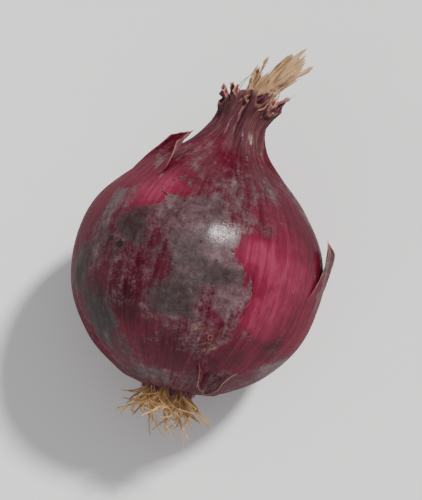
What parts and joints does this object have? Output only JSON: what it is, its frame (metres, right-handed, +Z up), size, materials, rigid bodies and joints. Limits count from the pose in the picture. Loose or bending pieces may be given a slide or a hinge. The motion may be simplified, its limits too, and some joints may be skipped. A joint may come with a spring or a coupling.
{
  "type": "red onion",
  "caption": "Whole red onion in its dry papery skin, with a short dried neck and a tuft of roots, lying on its side on a small flat spot.",
  "frame": {"origin": "on the surface that the onion lies on, under the middle of its bounding box", "axes": "+Z up, +Y along the length of the onion from the roots to the neck, +X to its right"},
  "size_m": [0.0565, 0.0882, 0.0554],
  "materials": {
    "onion_skin": "dry papery skin, satin gloss, crimson to magenta under a dull grey-brown outer film",
    "dry_leaf": "dry fibrous tan leaf ends, matte",
    "dry_root": "dry straw-coloured roots, matte"
  },
  "bodies": {
    "root": {"bulb": "onion_skin", "neck_leaves": "dry_leaf", "root_tuft": "dry_root"}
  },
  "joints": []
}
